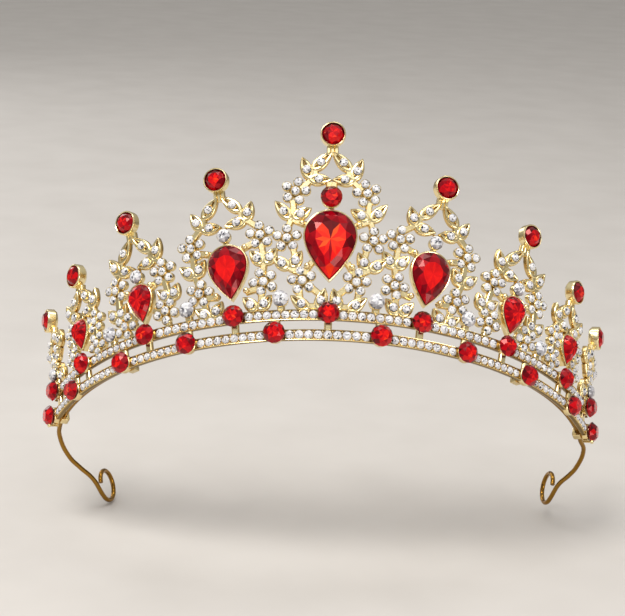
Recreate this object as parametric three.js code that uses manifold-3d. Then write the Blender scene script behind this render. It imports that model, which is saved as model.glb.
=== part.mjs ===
// A gold-plated tiara set with red and clear glass stones.
//
// The metalwork is drawn as a flat pattern, as it is cast: x across the front, y up, z out of the
// sheet. Two parallel stone rails arch across it, and nine openwork spires stand on the upper rail,
// each square to the arch. The pattern is then bent round the head, and the whole tiara is tipped
// back to the angle at which it is worn.
//
// Units are millimetres. +X is to the right seen from the front, -Y is the front, +Z is up.
// The origin is the front centre of the lower rail, at its bottom edge, on the side of the head.

import * as THREE from 'three';
import { mergeVertices } from 'three/addons/utils/BufferGeometryUtils.js';
import Module from 'manifold-3d';

const wasm = await Module();
wasm.setup();

// ---------------------------------------------------------------- driving dimensions

const WORN_TILT = THREE.MathUtils.degToRad(34);   // the front is raised, the ends hang low
const ARCH_RADIUS = 330;                          // of the lower rail in the flat pattern
const FRONT_CURVATURE = 0.0107;                   // of the bend round the head, at the front, 1/mm
const SIDE_CURVATURE = 3.65e-7;                   // added heading per cubed millimetre from the front
const FLARE = Math.sin(0.091);                    // outward lean of the spires

const GAP = 0.3;                                  // between separate solids
const PLATE = 1.6;                                // thickness of the cast metal

const RAIL_HEIGHT = 2.8;
const RAIL_STEPS = 41;                            // odd, so that one flat facet crosses the centre
const UPPER_RAIL = 5.2;                           // bottom edge of the upper rail
const UPPER_RAIL_END = 88.0;
const SPIRE_FOOT = UPPER_RAIL + RAIL_HEIGHT;
const LOWER_RED = 1.9;                            // height of the red stones on the lower rail
const UPPER_RED = 7.0;
const LOWER_STATIONS = [13.3, 36.1, 55.6, 75.2];  // red stones along the lower rail
const BAND_END = 90.2;                            // last red stone, at the end of the band
const END_MARGIN = 1.6;                           // rail beyond that stone
const SPIRE_STATIONS = [0, 23.3, 47.2, 69.2, 85.4];
const SPIRE_LEANS = [0, 4, 3, -4, 0].map(THREE.MathUtils.degToRad);  // outward, from square to the arch
const STRUT_WIDTH = 2.0;                          // short posts from the upper rail down to the lower
const TAB_WIDTH = 3.0;                            // short tabs from the lower rail up to the upper

const RED_RADIUS = 2.8;
const RED_HEIGHT = 2.1;
const CLEAR_RADIUS = 1.9;
const CLEAR_HEIGHT = 1.5;
const PAD_INSET = 0.15;                           // of the pad behind a stone, from the stone's edge
const PAD_PROUD = 0.9;                            // how far a rail's pads stand in front of the rail
const RAIL_STONE = PLATE + PAD_PROUD + GAP;       // depth at which a rail's red stones stand
const UPPER_PAD = 1.3;                            // radius of the pads on the upper rail
const CLEAR_PAD_HEIGHT = SPIRE_FOOT + 2.8;        // pads on the upper rail for clear stones
const CLEAR_PADS = 3;                             // on each side, between the inner four spires
const CUP_RADIUS = 3.35;                          // cup that holds the red stone on a spire's top
const CUP_DEPTH = 3.0;
const CUP_FLOOR = 1.4;
const CUP_CLEARANCE = 0.2;                        // between a stone and the wall of its cup
const PEAR_RIM = 0.55;                            // metal round a pear stone
const PEAR_DEPTH = 2.2;
const PEAR_FLOOR = 0.8;
const PEAR_STONE_HEIGHT = 3.2;
const POINT_SHARE = 1.2;                          // a pear's point grows more than its sides do
const PEAR_BEVEL = 0.28;                          // slope round a pear stone, as a share of its width
const PEAR_GIRDLE = 0.3;

const LEAF_WIDTH = 3.5;
const LEAF_BELLY = 0.3;                           // share of a leaf's length at which it bulges
const PETAL_CUP = 1.35;
const PETAL_CIRCLE = 2.55;
const PETAL_LOBE = 0.85;                          // how far a rosette's lobe goes round its cup
const SMALL_FLOWER = 0.88;                        // scale of the flowers on the outer spires
const SMALL_FLOWER_FROM = 3;                      // first spire from the centre that has them
const BEAD_RADIUS = 0.84;
const BEAD_PROUD = 0.5;
const LINK_WIDTH = 1.8;
const SPINE_WIDTH = 1.6;                          // bar behind the stone above a pear
const NECK_WIDTH = 3.0;                           // of the tab under a spire's top cup
const NECK_FROM = 5.2;                            // its ends, below the middle of the cup
const NECK_TO = 2.9;

// Each wire lies along the back of the lower rail, leaves it at the band's end, and curls once round
// into an eyelet for a hairpin. Points are on the right side, before the tiara is tipped back. The
// wires are bent by hand, so the right one stands a flex outwards of the middle and the left one a
// flex inwards.
const WIRE_RADIUS = 0.65;
const WIRE_START = 52;
const WIRE_LEAVES = 93.8;                         // where it leaves the line of the rail
const WIRE_STEPS = 8;                             // between the two
const WIRE_FACETS = 64;                           // along the whole wire
const WIRE_TAIL = [
  [73.5, 51.8, -13.7], [71.7, 58.6, -17.7], [69.7, 61.4, -19.4], [66.7, 64.7, -21.6],
];
const WIRE_FLEX = new THREE.Vector3(2.8, -1.1, 1.3);  // of the eyelet, growing from the band's end
const EYELET_CENTRE = new THREE.Vector3(64.1, 71.4, -21.7);
const EYELET_AXIS = new THREE.Vector3(0.938, 0.298, -0.161);
const EYELET_TWIST = new THREE.Vector3(0.026, -0.07, 0.022);  // of that axis, on the flexed wire
const EYELET_RADIUS = 4.3;
const EYELET_FROM = 1.28 * Math.PI;               // round the eyelet, from its far side
const EYELET_SWEEP = 1.71 * Math.PI;
const EYELET_PITCH = 0.5;                         // how far the wire's tip ends beside its start
const EYELET_STEPS = 13;
const CLIP_STATIONS = { front: 54.5, end: 89.2 };
const CLIP_LENGTH = 2.4;
const CLIP_WALL = 0.6;

const STONE_FACETS = 8;                           // round a stone
const LEAF_CURVE = 3;                             // straight steps in each kind of curve
const BEZEL_CURVE = 4;
const PAD_CURVE = 5;
const CUP_CURVE = 6;
const WELD = 1e-4;                                // distance under which two vertices are one

const GOLD = { color: 0xe2c078, roughness: 0.25, metalness: 1.0 };
const BRASS = { color: 0xb8904a, roughness: 0.35, metalness: 1.0 };
const RED_GLASS = { color: 0xb5071a, roughness: 0.05, metalness: 0.0 };
const CLEAR_GLASS = { color: 0xe9edf2, roughness: 0.05, metalness: 0.0 };

// ---------------------------------------------------------------- what each spire is made of
//
// Lengths are measured from the spire's own centre line, u to the side and h up from the lower
// rail's bottom edge. Everything but the pear, the stones on the centre line and the neck is
// doubled on the other side. leaves are [base u, base h, tip u, tip h], flowers are
// [u, h, angle of one petal in degrees], links are bars from one point to another.

const SPIRES = [
  {
    top: 54.8,
    pear: { h: 24.9, width: 13, length: 18 },
    accent: { h: 37.7, red: true },
    leaves: [
      [5.0, 45.0, -0.2, 50.4], [5.2, 42.4, 7.6, 48.9], [5.9, 42.7, -0.3, 42.6],
      [9.9, 31.7, 14.2, 37.0], [9.7, 31.9, 4.6, 35.0],
      [9.9, 18.6, 14.6, 22.1], [9.7, 18.6, 6.9, 23.6],
      [2.7, 7.7, 0.9, 13.9], [4.6, 7.7, 9.8, 11.7],
    ],
    flowers: [[8.9, 39.4, 104], [10.8, 26.8, 89], [6.8, 15.6, 78]],
    beads: [[7.1, 30.7], [5.6, 19.4]],
    links: [
      [4.2, 45.3, 4.0, 41.4], [5.4, 42.2, 7.6, 40.0], [9.8, 32.0, 10.8, 29.3], [9.6, 36.9, 9.0, 32.6],
      [9.4, 24.9, 8.5, 21.2], [9.2, 19.1, 10.6, 19.1], [9.8, 18.8, 7.3, 17.7], [7.5, 13.3, 7.0, 9.5],
      [2.4, 8.9, 5.4, 8.9], [2.4, 12.2, 4.6, 14.0], [9.8, 32.0, 5.2, 30.1], [4.4, 20.6, 6.5, 17.3],
      [0.6, 38.7, 0.6, 42.0],
    ],
  },
  {
    top: 44.2,
    pear: { h: 18.9, width: 10, length: 14 },
    accent: { h: 28.8 },
    leaves: [
      [5.2, 34.6, 0.3, 39.8], [5.7, 31.7, 8.1, 37.2], [6.2, 32.1, 0.1, 31.6],
      [9.2, 19.5, 13.0, 23.6], [9.0, 19.5, 5.8, 24.0],
      [5.9, 7.7, 2.6, 12.0], [6.1, 7.7, 10.2, 11.4],
    ],
    flowers: [[9.1, 27.6, 90], [8.4, 15.1, 105]],
    beads: [[4.9, 25.0], [3.9, 13.4]],
    links: [
      [4.8, 35.1, 5.6, 31.9], [5.9, 32.4, 8.6, 30.1], [9.1, 25.1, 9.1, 19.9], [9.1, 19.7, 8.4, 17.2],
      [7.6, 12.8, 7.0, 8.9], [4.0, 24.8, 7.4, 25.9], [3.6, 13.2, 6.6, 13.6], [4.8, 8.9, 7.2, 8.9],
    ],
  },
  {
    top: 39.1,
    pear: { h: 15.9, width: 7, length: 10 },
    accent: { h: 23.4 },
    leaves: [
      [5.0, 29.0, 0.3, 34.8], [5.6, 26.2, 8.1, 32.1], [5.9, 26.7, 0.1, 26.0],
      [8.6, 14.0, 11.2, 18.3], [8.4, 14.0, 4.8, 18.1],
    ],
    flowers: [[7.5, 22.5, 90], [6.4, 11.8, 120]],
    beads: [[3.6, 20.0]],
    links: [
      [4.6, 29.4, 5.4, 26.4], [5.7, 26.9, 7.4, 24.8], [7.4, 20.2, 8.0, 14.7], [3.2, 19.5, 6.0, 20.8],
      [6.4, 9.7, 6.4, 7.4], [3.0, 13.1, 5.4, 11.8], [8.4, 14.3, 7.4, 12.6],
    ],
  },
  {
    top: 32.6,
    pear: { h: 15.5, width: 5.5, length: 8 },
    leaves: [
      [4.2, 23.8, 0.3, 28.6], [4.7, 21.3, 6.9, 26.7], [4.9, 21.7, 0.1, 21.1],
    ],
    flowers: [[5.4, 17.4, 90], [5.3, 11.1, 54]],
    beads: [],
    links: [
      [3.9, 24.2, 4.6, 21.5], [4.7, 22.0, 5.4, 19.5], [5.4, 15.4, 5.3, 12.9], [2.4, 16.4, 4.0, 16.8],
      [5.3, 9.3, 5.0, 7.4], [0.0, 19.3, 0.0, 21.3],
    ],
  },
  {
    top: 29.5,
    accent: { h: 11.9 },
    leaves: [
      [3.8, 20.9, 0.3, 25.5], [4.2, 18.5, 5.9, 23.4], [4.4, 18.9, 0.1, 18.7],
      [2.6, 8.0, 5.4, 12.1],
    ],
    flowers: [[0.0, 16.0, 90]],
    beads: [[3.3, 13.3]],
    links: [
      [3.5, 21.3, 4.0, 18.9], [4.1, 18.7, 2.2, 16.6], [0.0, 17.8, 0.0, 19.1], [1.4, 14.2, 3.4, 13.3],
      [3.3, 13.3, 4.0, 10.3], [1.2, 12.3, 3.6, 9.7], [2.9, 8.8, 2.6, 7.4], [0.0, 14.0, 0.0, 11.9],
    ],
  },
];

// ---------------------------------------------------------------- pattern to worn shape

// Where a run along the front ends up, seen from above: the heading is integrated by Simpson's rule.
function planPoint(run) {
  const panels = 40;
  const step = run / panels;
  let across = 0;
  let back = 0;
  for (let i = 0; i <= panels; i += 1) {
    const weight = i === 0 || i === panels ? 1 : (i % 2 === 1 ? 4 : 2);
    const angle = heading(i * step);
    across += weight * Math.cos(angle) * step / 3;
    back += weight * Math.sin(angle) * step / 3;
  }
  return { across, back, angle: heading(run) };
}

function heading(run) {
  return FRONT_CURVATURE * run + SIDE_CURVATURE * run ** 3;
}

// Bends one point of the flat pattern round the head.
function bend(x, y, z) {
  const side = x < 0 ? -1 : 1;
  const plan = planPoint(Math.abs(x));
  const height = Math.hypot(x, y + ARCH_RADIUS) - ARCH_RADIUS;
  const out = z + height * FLARE;
  return new THREE.Vector3(
    side * (plan.across + Math.sin(plan.angle) * out),
    plan.back - Math.cos(plan.angle) * out,
    y,
  );
}

// The place in the flat pattern of a point beside the centre line of a spire.
function patternPoint(station, u, h) {
  const angle = station / ARCH_RADIUS;
  const radius = ARCH_RADIUS + h;
  return {
    x: radius * Math.sin(angle) + u * Math.cos(angle),
    y: radius * Math.cos(angle) - u * Math.sin(angle) - ARCH_RADIUS,
  };
}

// The worn place and axes of a rigid piece on the centre line of a spire that leans outwards.
function seat(station, h, out, lean = 0) {
  const angle = station / ARCH_RADIUS + lean;
  const reach = h - SPIRE_FOOT;
  const at = patternPoint(station, reach * Math.sin(lean), SPIRE_FOOT + reach * Math.cos(lean));
  const step = 0.5;
  const acrossX = step * Math.cos(angle);
  const acrossY = -step * Math.sin(angle);
  const origin = bend(at.x, at.y, out);
  const ex = bend(at.x + acrossX, at.y + acrossY, out).sub(bend(at.x - acrossX, at.y - acrossY, out));
  const up = bend(at.x - acrossY, at.y + acrossX, out).sub(bend(at.x + acrossY, at.y - acrossX, out));
  ex.normalize();
  const ez = new THREE.Vector3().crossVectors(ex, up).normalize();
  const ey = new THREE.Vector3().crossVectors(ez, ex);
  return { origin, turn: new THREE.Matrix4().makeBasis(ex, ey, ez) };
}

// ---------------------------------------------------------------- solids

function toManifold(geometry) {
  geometry.deleteAttribute('normal');
  geometry.deleteAttribute('uv');
  const merged = mergeVertices(geometry, WELD);
  return new wasm.Manifold(new wasm.Mesh({
    numProp: 3,
    vertProperties: new Float32Array(merged.attributes.position.array),
    triVerts: new Uint32Array(merged.index.array),
  }));
}

function join(solids) {
  return solids.reduce((whole, solid) => whole.add(solid));
}

// A plate of the given outline between two depths.
function plate(outline, from, to, curveSegments = BEZEL_CURVE) {
  const geometry = new THREE.ExtrudeGeometry(outline, {
    depth: to - from, bevelEnabled: false, curveSegments,
  });
  geometry.translate(0, 0, from);
  return toManifold(geometry);
}

function circleShape(u, h, radius) {
  return new THREE.Shape().absarc(u, h, radius, 0, 2 * Math.PI);
}

// A leaf, round at its base and pointed at its tip.
function leafShape([baseU, baseH, tipU, tipH]) {
  const base = new THREE.Vector2(baseU, baseH);
  const tip = new THREE.Vector2(tipU, tipH);
  const belly = base.clone().lerp(tip, LEAF_BELLY);
  const bulge = tip.clone().sub(base).rotateAround(new THREE.Vector2(), Math.PI / 2).setLength(LEAF_WIDTH);
  const shape = new THREE.Shape();
  shape.moveTo(base.x, base.y);
  shape.quadraticCurveTo(belly.x - bulge.x, belly.y - bulge.y, tip.x, tip.y);
  shape.quadraticCurveTo(belly.x + bulge.x, belly.y + bulge.y, base.x, base.y);
  return shape;
}

function barShape([fromU, fromH, toU, toH], width = LINK_WIDTH) {
  const from = new THREE.Vector2(fromU, fromH);
  const to = new THREE.Vector2(toU, toH);
  const half = to.clone().sub(from).rotateAround(new THREE.Vector2(), Math.PI / 2).setLength(width / 2);
  return new THREE.Shape([
    from.clone().sub(half), to.clone().sub(half), to.clone().add(half), from.clone().add(half),
  ]);
}

// A rosette: five lobes, one for each petal's stone cup.
function flowerShape([u, h, petalAngle], size) {
  const lobe = PETAL_CIRCLE + PETAL_LOBE * PETAL_CUP;
  const points = [];
  for (let i = 0; i < 10; i += 1) {
    const radius = size * (i % 2 === 0 ? lobe : PETAL_CIRCLE);
    const angle = THREE.MathUtils.degToRad(petalAngle) + i * Math.PI / 5;
    points.push(new THREE.Vector2(u + radius * Math.cos(angle), h + radius * Math.sin(angle)));
  }
  return new THREE.Shape(points);
}

// A drop with a round top and a point at the bottom, centred on its own length. Each side leaves the
// round part almost straight down, and then runs in to the point.
function pearShape(width, length, centre = 0) {
  const radius = width / 2;
  const shoulderShare = 0.42;
  const shoulderWidth = 0.98 * radius;
  const roundCentre = centre + length / 2 - radius;
  const point = centre - length / 2;
  const shoulder = roundCentre - shoulderShare * (roundCentre - point);
  const shape = new THREE.Shape();
  shape.moveTo(0, point);
  shape.quadraticCurveTo(shoulderWidth, shoulder, radius, roundCentre);
  shape.absarc(0, roundCentre, radius, 0, Math.PI);
  shape.quadraticCurveTo(-shoulderWidth, shoulder, 0, point);
  return shape;
}

// A rail: a bar that follows the arch, in straight steps, between its two ends.
function railSolid(bottom, end) {
  const geometry = new THREE.BoxGeometry(2 * end, RAIL_HEIGHT, PLATE, RAIL_STEPS, 1, 1);
  geometry.translate(0, bottom + RAIL_HEIGHT / 2, PLATE / 2);
  const { position } = geometry.attributes;
  for (let i = 0; i < position.count; i += 1) {
    const at = patternPoint(position.getX(i), 0, position.getY(i));
    position.setXYZ(i, ...bend(at.x, at.y, position.getZ(i)).toArray());
  }
  return toManifold(geometry);
}

// Leans a spire outwards about its foot.
function leanOver(solid, lean) {
  return solid.translate([0, -SPIRE_FOOT, 0]).rotate([0, 0, -THREE.MathUtils.radToDeg(lean)])
    .translate([0, SPIRE_FOOT, 0]);
}

// Turns a solid drawn beside a spire's centre line into its place in the pattern.
function standAt(solid, station) {
  const angle = station / ARCH_RADIUS;
  return solid.translate([0, ARCH_RADIUS, 0]).rotate([0, 0, -THREE.MathUtils.radToDeg(angle)])
    .translate([0, -ARCH_RADIUS, 0]);
}

function solidMesh(name, solid, look) {
  const { vertProperties, triVerts } = solid.getMesh();
  const geometry = new THREE.BufferGeometry();
  geometry.setAttribute('position', new THREE.BufferAttribute(new Float32Array(vertProperties), 3));
  geometry.setIndex(new THREE.BufferAttribute(new Uint32Array(triVerts), 1));
  geometry.computeVertexNormals();
  return namedMesh(name, geometry, look);
}

// A solid drawn in the flat pattern, with each of its vertices bent round the head.
function bentMesh(name, solid, look) {
  const mesh = solidMesh(name, solid, look);
  const { position } = mesh.geometry.attributes;
  for (let i = 0; i < position.count; i += 1) {
    const point = bend(position.getX(i), position.getY(i), position.getZ(i));
    position.setXYZ(i, ...point.toArray());
  }
  mesh.geometry.computeVertexNormals();
  return mesh;
}

function namedMesh(name, geometry, look) {
  const mesh = new THREE.Mesh(geometry, new THREE.MeshStandardMaterial(look));
  mesh.name = name;
  return mesh;
}

// ---------------------------------------------------------------- rails

function bothSides(stations) {
  return stations.flatMap((station) => (station === 0 ? [0] : [-station, station]));
}

function midStations() {
  return SPIRE_STATIONS.slice(1).map((station, i) => (station + SPIRE_STATIONS[i]) / 2);
}

// Where the upper rail holds a clear stone between two spires.
function padStations() {
  return midStations().slice(0, CLEAR_PADS);
}

// A plate of the rail's own thickness that stands on the arch at one station, already bent.
function railPlate(outline, station, from = GAP, to = PLATE) {
  const { origin, turn } = seat(station, 0, 0);
  const matrix = turn.clone().setPosition(origin);
  return plate(outline, from, to, PAD_CURVE).transform(matrix.toArray());
}

function railPad(h, radius, station) {
  return railPlate(circleShape(0, h, radius), station, GAP, PLATE + PAD_PROUD);
}

function lowerRail() {
  const solids = [railSolid(0, BAND_END + END_MARGIN)];
  for (const station of bothSides([...LOWER_STATIONS, BAND_END])) {
    solids.push(railPad(LOWER_RED, RED_RADIUS - PAD_INSET, station));
  }
  for (const station of bothSides(LOWER_STATIONS)) {
    solids.push(railPlate(barShape([0, RAIL_HEIGHT / 2, 0, UPPER_RAIL - GAP], TAB_WIDTH), station));
  }
  return join(solids);
}

function upperRail() {
  const solids = [railSolid(UPPER_RAIL, UPPER_RAIL_END)];
  for (const station of bothSides(SPIRE_STATIONS)) {
    const strut = barShape([0, RAIL_HEIGHT + GAP, 0, UPPER_RAIL + RAIL_HEIGHT / 2], STRUT_WIDTH);
    solids.push(railPlate(strut, station));
    solids.push(railPad(UPPER_RED, UPPER_PAD, station));
  }
  for (const station of bothSides(padStations())) {
    const pad = circleShape(0, CLEAR_PAD_HEIGHT, CLEAR_RADIUS - PAD_INSET);
    const post = barShape([0, UPPER_RAIL + RAIL_HEIGHT / 2, 0, CLEAR_PAD_HEIGHT], STRUT_WIDTH);
    solids.push(railPlate(pad, station));
    solids.push(railPlate(post, station));
  }
  return join(solids);
}

// ---------------------------------------------------------------- spires

// The part of the pattern that belongs to one spire, clear of the rail and of its neighbours.
function cell(index) {
  const mids = midStations();
  const station = SPIRE_STATIONS[index];
  const inner = index === 0 ? -mids[0] : mids[index - 1];
  const outer = index < mids.length ? mids[index] : 2 * BAND_END - station;
  const foot = ARCH_RADIUS + SPIRE_FOOT + GAP;
  const top = ARCH_RADIUS + 2 * SPIRES[0].top;
  const from = Math.PI / 2 - (inner - station + GAP / 2) / ARCH_RADIUS;
  const to = Math.PI / 2 - (outer - station - GAP / 2) / ARCH_RADIUS;
  const shape = new THREE.Shape();
  shape.absarc(0, -ARCH_RADIUS, foot, from, to, true);
  shape.absarc(0, -ARCH_RADIUS, top, to, from, false);
  return plate(shape, -GAP, CUP_DEPTH + GAP, CUP_CURVE);
}

function cup(h, radius, stoneRadius) {
  const body = plate(circleShape(0, h, radius), 0, CUP_DEPTH, CUP_CURVE);
  const hollow = circleShape(0, h, stoneRadius + CUP_CLEARANCE);
  return body.subtract(plate(hollow, CUP_FLOOR, CUP_DEPTH + GAP, CUP_CURVE));
}

// The outline of a pear stone, moved outwards all round.
function pearOutline({ h, width, length }, outwards) {
  return pearShape(width + 2 * outwards, length + 2 * POINT_SHARE * outwards, h);
}

function pearPocket(pear) {
  return plate(pearOutline(pear, CUP_CLEARANCE), PEAR_FLOOR, PEAR_DEPTH + GAP);
}

function pearBezel(pear) {
  return plate(pearOutline(pear, PEAR_RIM), 0, PEAR_DEPTH);
}

function spireSolid(index) {
  const spire = SPIRES[index];
  const size = index < SMALL_FLOWER_FROM ? 1 : SMALL_FLOWER;
  const solids = [
    cup(spire.top, CUP_RADIUS, RED_RADIUS),
    plate(barShape([0, spire.top - NECK_FROM, 0, spire.top - NECK_TO], NECK_WIDTH), 0, PLATE),
  ];
  for (const side of [-1, 1]) {
    for (const [baseU, baseH, tipU, tipH] of spire.leaves) {
      solids.push(plate(leafShape([side * baseU, baseH, side * tipU, tipH]), 0, PLATE, LEAF_CURVE));
    }
    for (const [fromU, fromH, toU, toH] of spire.links) {
      solids.push(plate(barShape([side * fromU, fromH, side * toU, toH]), 0, PLATE));
    }
    for (const [u, h, angle] of spire.flowers) {
      const petalAngle = side < 0 ? 180 - angle : angle;
      solids.push(plate(flowerShape([side * u, h, petalAngle], size), 0, PLATE));
    }
    for (const [u, h] of spire.beads) {
      solids.push(plate(circleShape(side * u, h, BEAD_RADIUS), 0, PLATE + BEAD_PROUD, LEAF_CURVE));
    }
  }
  if (spire.accent) {
    const radius = spire.accent.red ? RED_RADIUS : CLEAR_RADIUS;
    const { h } = spire.accent;
    const reach = radius + CUP_CLEARANCE + GAP;
    solids.push(plate(circleShape(0, h, radius - PAD_INSET), 0, PLATE, PAD_CURVE));
    solids.push(plate(barShape([0, h - reach, 0, h + reach], SPINE_WIDTH), 0, PLATE));
  }
  if (spire.pear) {
    solids.push(pearBezel(spire.pear));
  }
  let solid = join(solids);
  if (spire.pear) {
    solid = solid.subtract(pearPocket(spire.pear));
  }
  solid = leanOver(solid, SPIRE_LEANS[index]).intersect(cell(index));
  const padRoom = circleShape(0, CLEAR_PAD_HEIGHT, CLEAR_RADIUS - PAD_INSET + GAP);
  const postRoom = barShape([0, UPPER_RAIL, 0, CLEAR_PAD_HEIGHT], STRUT_WIDTH + 2 * GAP);
  const room = plate(padRoom, -GAP, CUP_DEPTH, PAD_CURVE).add(plate(postRoom, -GAP, CUP_DEPTH));
  for (const station of bothSides(padStations())) {
    const away = station - SPIRE_STATIONS[index];
    if (Math.abs(away) < SPIRE_STATIONS[1]) {
      solid = solid.subtract(standAt(room, away));
    }
  }
  return solid;
}

// ---------------------------------------------------------------- stones

// A round stone standing on its flat back: pavilion edge, girdle, crown and table.
function roundStone(radius, height) {
  const back = 0.72 * radius;
  const girdle = 0.42 * height;
  const table = 0.58 * radius;
  const profile = [[0, 0], [back, 0], [radius, girdle], [table, height], [0, height]];
  const geometry = new THREE.LatheGeometry(profile.map(([r, y]) => new THREE.Vector2(r, y)), STONE_FACETS);
  return geometry.rotateX(Math.PI / 2);
}

function pearStone({ width, length }) {
  const bevel = PEAR_BEVEL * width;
  const slope = (PEAR_STONE_HEIGHT - PEAR_GIRDLE) / 2;
  const table = pearShape(width - 2 * bevel, length - 2 * POINT_SHARE * bevel);
  return new THREE.ExtrudeGeometry(table, {
    depth: PEAR_GIRDLE, bevelThickness: slope, bevelSize: bevel, bevelSegments: 1, curveSegments: PAD_CURVE,
  }).translate(0, 0, slope);
}

function stoneMesh(name, geometry, look, { station, lean = 0, h, out }) {
  geometry.deleteAttribute('normal');
  geometry.deleteAttribute('uv');
  const merged = mergeVertices(geometry, WELD);
  merged.computeVertexNormals();
  const mesh = namedMesh(name, merged, look);
  const { origin, turn } = seat(station, h, out, lean);
  mesh.position.copy(origin);
  mesh.quaternion.setFromRotationMatrix(turn);
  return mesh;
}

// ---------------------------------------------------------------- end wires

function wirePath(side) {
  const points = [];
  for (let i = 0; i <= WIRE_STEPS; i += 1) {
    const run = THREE.MathUtils.lerp(WIRE_START, WIRE_LEAVES, i / WIRE_STEPS);
    const at = patternPoint(run, 0, RAIL_HEIGHT / 2);
    points.push(bend(at.x, at.y, -WIRE_RADIUS - GAP));
  }
  WIRE_TAIL.forEach((place, i) => {
    const share = (i + 1) / (WIRE_TAIL.length + 1);
    points.push(new THREE.Vector3(...place).addScaledVector(WIRE_FLEX, side * share));
  });
  const centre = EYELET_CENTRE.clone().addScaledVector(WIRE_FLEX, side);
  const axis = EYELET_AXIS.clone().addScaledVector(EYELET_TWIST, side).normalize();
  const forward = new THREE.Vector3(0, 1, 0).projectOnPlane(axis).normalize();
  const rise = new THREE.Vector3().crossVectors(axis, forward);
  for (let i = 0; i <= EYELET_STEPS; i += 1) {
    const share = i / EYELET_STEPS;
    const angle = EYELET_FROM + EYELET_SWEEP * share;
    points.push(centre.clone()
      .addScaledVector(forward, EYELET_RADIUS * Math.cos(angle))
      .addScaledVector(rise, EYELET_RADIUS * Math.sin(angle))
      .addScaledVector(axis, -EYELET_PITCH * share));
  }
  return new THREE.CatmullRomCurve3(points.map((p) => p.setX(side * p.x)), false, 'centripetal');
}

function wireGeometry(side) {
  const section = new THREE.Shape().absarc(0, 0, WIRE_RADIUS, 0, 2 * Math.PI);
  return new THREE.ExtrudeGeometry(section, {
    steps: WIRE_FACETS, curveSegments: BEZEL_CURVE, extrudePath: wirePath(side), bevelEnabled: false,
  });
}

// A small strap over the wire, soldered to the back of the rail on both sides of it.
function clipSolid(station) {
  const height = 2 * (WIRE_RADIUS + GAP + CLIP_WALL);
  const middle = RAIL_HEIGHT / 2;
  const depth = -2 * WIRE_RADIUS - 2 * GAP - CLIP_WALL;
  const outer = plate(barShape([-CLIP_LENGTH / 2, middle, CLIP_LENGTH / 2, middle], height), depth, -GAP);
  const channel = barShape([-CLIP_LENGTH, middle, CLIP_LENGTH, middle], height - 2 * CLIP_WALL);
  return standAt(outer.subtract(plate(channel, depth + CLIP_WALL, GAP)), station);
}

// ---------------------------------------------------------------- assembly

const tiara = new THREE.Group();
tiara.rotation.x = -WORN_TILT;

function sideWord(side) {
  return side < 0 ? 'left' : 'right';
}

function sideName(stem, side, index) {
  return index === 0 ? `${stem}_centre` : `${stem}_${sideWord(side)}_${index}`;
}

function addRed(name, place) {
  tiara.add(stoneMesh(name, roundStone(RED_RADIUS, RED_HEIGHT), RED_GLASS, place));
}

tiara.add(solidMesh('lower_rail', lowerRail(), GOLD));
tiara.add(solidMesh('upper_rail', upperRail(), GOLD));

SPIRES.forEach((spire, index) => {
  for (const side of index === 0 ? [1] : [-1, 1]) {
    const station = side * SPIRE_STATIONS[index];
    const lean = side * SPIRE_LEANS[index];
    const solid = side < 0 ? spireSolid(index).mirror([1, 0, 0]) : spireSolid(index);
    tiara.add(bentMesh(sideName('spire', side, index), standAt(solid, station), GOLD));
    addRed(sideName('top_stone', side, index), { station, lean, h: spire.top, out: CUP_FLOOR + GAP });
    addRed(sideName('upper_rail_stone', side, index), { station, h: UPPER_RED, out: RAIL_STONE });
    if (spire.pear) {
      const place = { station, lean, h: spire.pear.h, out: PEAR_FLOOR + GAP };
      tiara.add(stoneMesh(sideName('pear_stone', side, index), pearStone(spire.pear), RED_GLASS, place));
    }
    if (spire.accent) {
      const name = sideName('accent_stone', side, index);
      const place = { station, lean, h: spire.accent.h, out: PLATE + GAP };
      if (spire.accent.red) {
        addRed(name, place);
      } else {
        tiara.add(stoneMesh(name, roundStone(CLEAR_RADIUS, CLEAR_HEIGHT), CLEAR_GLASS, place));
      }
    }
  }
});

for (const side of [-1, 1]) {
  LOWER_STATIONS.forEach((distance, i) => {
    const place = { station: side * distance, h: LOWER_RED, out: RAIL_STONE };
    addRed(sideName('lower_rail_stone', side, i + 1), place);
  });
  addRed(`end_stone_${sideWord(side)}`, { station: side * BAND_END, h: LOWER_RED, out: RAIL_STONE });
  tiara.add(namedMesh(`end_wire_${sideWord(side)}`, wireGeometry(side), BRASS));
  for (const [place, station] of Object.entries(CLIP_STATIONS)) {
    tiara.add(bentMesh(`wire_clip_${place}_${sideWord(side)}`, clipSolid(side * station), GOLD));
  }
}

const group = new THREE.Group();
group.add(tiara);
export default group;
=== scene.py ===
"""Looks of the tiara: polished cast metal, faceted red and clear glass, and brass end wires.

Everything is built in the tiara's own flat pattern, in millimetres: u across a spire, h up from the
lower rail's bottom edge, w out of the sheet. worn() bends that pattern round the head, tips it back
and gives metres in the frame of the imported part.
"""

import math

import bpy
import numpy as np
from mathutils import Matrix, Vector


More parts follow.
